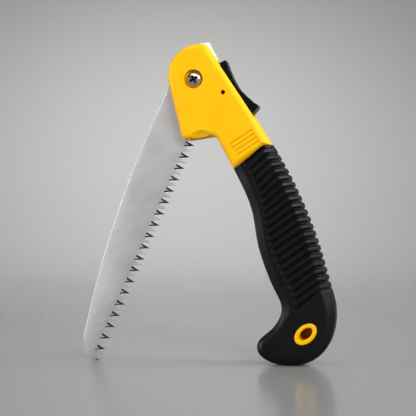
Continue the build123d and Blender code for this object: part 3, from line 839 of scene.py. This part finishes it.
def mark_bevels(blade):
    """Gives the teeth's ground bevels, the faces among the teeth that slope, the darker steel, which is
    painted shade.
    """
    blade.data.materials.append(MATERIALS["bevel_painted_shade"])
    root = TOOTH_LINE - TOOTH_DEPTH - 0.6
    heel = FIRST_TOOTH - 3
    for face in blade.data.polygons:
        centre = (face.center - PIVOT) / MM
        along, across = turned([(centre.x, centre.z)], -BLADE_ANGLE)[0]
        is_sloping = abs(face.normal.y) < 0.93
        if along > heel and across > root and is_sloping:
            face.material_index = 1


blade = saw_blade()
smooth_by_angle(blade, 25)
finish_piece(blade, "blade", "blade_steel", MATERIALS["blade_steel"], "blade")
mark_bevels(blade)


# ---- pivot screw -----------------------------------------------------------------------------

def turned_part(name, profile, count=64):
    """A closed part turned on the saw's thickness axis, from (radius, Y) points; ends on the axis."""
    points = [(0.0, profile[0][1], 0.0)]
    rings = profile[1:-1]
    for radius, y in rings:
        points += [(x, y, z) for x, z in circle_points(radius, count)]
    points.append((0.0, profile[-1][1], 0.0))
    last_ring = 1 + (len(rings) - 1) * count
    faces = []
    for index in range(count):
        after = (index + 1) % count
        faces.append([0, 1 + index, 1 + after])
        faces.append([last_ring + index, len(points) - 1, last_ring + after])
    for ring in range(len(rings) - 1):
        faces += ring_faces(1 + ring * count, 1 + (ring + 1) * count, count)
    return make_mesh(name, points, faces)


def cross_tool():
    """A cross recess that narrows as it goes down, as a cutting tool."""
    length, width = SCREW_CROSS
    arm = [(width, width), (width, length), (-width, length)]
    corners = np.concatenate([turned(arm, quarter * math.pi / 2) for quarter in range(4)])
    count = len(corners)
    wide = at_depth(turned(corners * 1.12, SCREW_CROSS_TURN), SCREW_TOP - 0.5)
    deep = at_depth(turned(corners * 0.45, SCREW_CROSS_TURN), SCREW_TOP + SCREW_CROSS_DEPTH)
    faces = [list(range(count)), list(range(2 * count - 1, count - 1, -1))]
    faces += ring_faces(0, count, count)
    return make_mesh("cross_tool", np.concatenate([wide, deep]), faces)


def darken_cross(screw):
    """Gives the cross recess's faces the dark steel, as painted shade in the recess."""
    screw.data.materials.append(MATERIALS["steel_painted_shade"])
    for face in screw.data.polygons:
        centre = (face.center - PIVOT) / MM
        radius = math.hypot(centre.x, centre.z)
        below_dome = SCREW_TOP + 0.5 * (radius / SCREW_HEAD_R) ** 2 + 0.25
        recess_floor = SCREW_TOP + SCREW_CROSS_DEPTH + 0.2
        if radius < SCREW_CROSS[0] * 1.2 and below_dome < centre.y < recess_floor:
            face.material_index = 1


def pan_screw():
    """Pan-head screw: a low dome with a rolled edge, on a plain shank."""
    seat = SCREW_TOP + SCREW_HEAD_HEIGHT
    rim = seat - SCREW_RIM
    rise = SCREW_HEAD_HEIGHT - SCREW_RIM
    dome = [(SCREW_HEAD_R * math.sin(a), rim - rise * math.cos(a) ** 0.8)
            for a in np.linspace(0, math.pi / 2, 14)]
    profile = dome[:-1] + [
        (SCREW_HEAD_R, rim), (SCREW_HEAD_R, seat - 0.15), (SCREW_HEAD_R - 0.15, seat),
        (SCREW_SHANK_R, seat), (SCREW_SHANK_R, NUT_END - 0.4), (SCREW_SHANK_R - 0.4, NUT_END),
        (0.0, NUT_END),
    ]
    screw = turned_part("pan_screw", profile)
    cut(screw, cross_tool())
    return smooth_by_angle(screw, 30)


screw = pan_screw()
finish_piece(screw, "frame", "plated_steel", MATERIALS["plated_steel"], "pivot_screw")
darken_cross(screw)


# ---- lever and its spring --------------------------------------------------------------------

def round_edges(obj, width):
    """Rounds a CAD node's sharp edges by a width in metres, by modifiers alone."""
    weld = obj.modifiers.new("weld", "WELD")
    weld.merge_threshold = 0.00001
    bevel = obj.modifiers.new("bevel", "BEVEL")
    bevel.width = width
    bevel.segments = 3
    bevel.limit_method = "ANGLE"
    bevel.angle_limit = math.radians(35)
    bevel.harden_normals = True


def coil_spring():
    """A coil of round wire that stands square to the head's back edge, its end turns closed up."""
    along = np.array([math.cos(BACK_ANGLE), 0.0, math.sin(BACK_ANGLE)])
    across = np.array([0.0, 1.0, 0.0])
    wire_r = SPRING_WIRE / 2
    turns = np.linspace(0, SPRING_TURNS, SPRING_TURNS * 36 + 1)
    heights = wire_r + (SPRING_HEIGHT - 2 * wire_r) * smooth_step(turns / SPRING_TURNS)
    wire = circle_points(wire_r, 12) + (SPRING_R - wire_r, 0.0)
    count = len(wire)
    points, faces = [], []
    for turn, height in zip(turns, heights):
        angle = 2 * math.pi * turn
        radial = math.cos(angle) * along + math.sin(angle) * across
        for reach, rise in wire:
            points.append(SPRING_FOOT + radial * reach + BACK_OUTWARD * (height + rise))
    for ring in range(len(turns) - 1):
        faces += ring_faces(ring * count, (ring + 1) * count, count)
    faces.append(list(range(count)))
    faces.append(list(range(len(points) - 1, len(points) - count - 1, -1)))
    return smooth_by_angle(make_mesh("coil_spring", points, faces), 50)


round_edges(nodes["lock_lever"], LEVER_EDGE_ROUND * MM)
spring = coil_spring()
finish_piece(spring, "frame", "spring_steel", MATERIALS["spring_steel"], "lock_spring")
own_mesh(spring)


# ---- stage, lights and camera ------------------------------------------------------------------

def stage_bowl():
    """A pale studio floor that curves up all round into a wall."""
    flat_r, wall_r, wall_top = 0.6, 2.4, 2.4
    profile = [(0.02, 0.0), (0.3, 0.0)]
    profile += [(flat_r + (wall_r - flat_r) * out, wall_top * out**4) for out in np.linspace(0, 1, 60)]
    count = 96
    points = [(0, 0, 0)]
    faces = [[0, 1 + index, 1 + (index + 1) % count] for index in range(count)]
    for radius, z in profile:
        points += [(x, y, z) for x, y in circle_points(radius, count)]
    for ring in range(len(profile) - 1):
        faces += ring_faces(1 + (ring + 1) * count, 1 + ring * count, count)
    mesh = bpy.data.meshes.new("stage_bowl")
    mesh.from_pydata(points, [], faces)
    mesh.polygons.foreach_set("use_smooth", [True] * len(mesh.polygons))
    obj = bpy.data.objects.new("stage_bowl", mesh)
    scene.collection.objects.link(obj)
    surface = Surface("studio_paint", (0.23, 0.23, 0.228), 0.2, Specular_IOR_Level=0.12)
    surface.set("Roughness", surface.ramp(surface.noise(3, 2), 0.17, 0.21))
    obj.data.materials.append(surface.material)


def soft_light(name, position, aim, size, power):
    """A rectangular white soft box that points at a place."""
    light = bpy.data.lights.new(name, "AREA")
    light.shape = "RECTANGLE"
    light.size, light.size_y = size
    light.energy = power
    obj = bpy.data.objects.new(name, light)
    obj.location = position
    obj.rotation_euler = (Vector(aim) - Vector(position)).to_track_quat("-Z", "Y").to_euler()
    scene.collection.objects.link(obj)


def studio():
    """The stage, a dim white world and the soft boxes."""
    stage_bowl()
    world = bpy.data.worlds.new("studio")
    world.use_nodes = True
    background = world.node_tree.nodes["Background"]
    background.inputs["Color"].default_value = (1.0, 1.0, 1.0, 1)
    background.inputs["Strength"].default_value = 0.2
    scene.world = world
    middle_of_saw = (0.0, 0.0, 0.11)
    soft_light("top_box", (0.0, 0.25, 1.4), middle_of_saw, (1.0, 0.8), 4)
    soft_light("key_box", (0.78, -1.05, 0.68), middle_of_saw, (0.6, 0.6), 15)
    soft_light("front_box", (-0.2, -1.3, 1.15), middle_of_saw, (1.2, 0.6), 6)
    soft_light("right_box", (1.05, 0.05, 0.65), middle_of_saw, (0.6, 0.6), 12)
    soft_light("left_box", (-1.05, -0.35, 0.28), middle_of_saw, (0.6, 0.5), 8)
    soft_light("wall_spot", (-0.25, 1.15, 0.75), (-0.28, 1.45, 0.0), (0.3, 0.3), 10)


def camera():
    """Level, aimed at the saw, turned a little from square so that its back edge shows."""
    target = Vector(place(CAMERA_TARGET))
    data = bpy.data.cameras.new("camera")
    data.lens = data.sensor_width * FOCAL_PIXELS / IMAGE_PIXELS
    obj = bpy.data.objects.new("camera", data)
    towards = Vector((math.sin(CAMERA_TURN), -math.cos(CAMERA_TURN), 0))
    obj.location = target + towards * CAMERA_DISTANCE
    obj.rotation_euler = (-towards).to_track_quat("-Z", "Y").to_euler()
    scene.collection.objects.link(obj)
    scene.camera = obj


studio()
camera()
scene.view_settings.view_transform = "Standard"
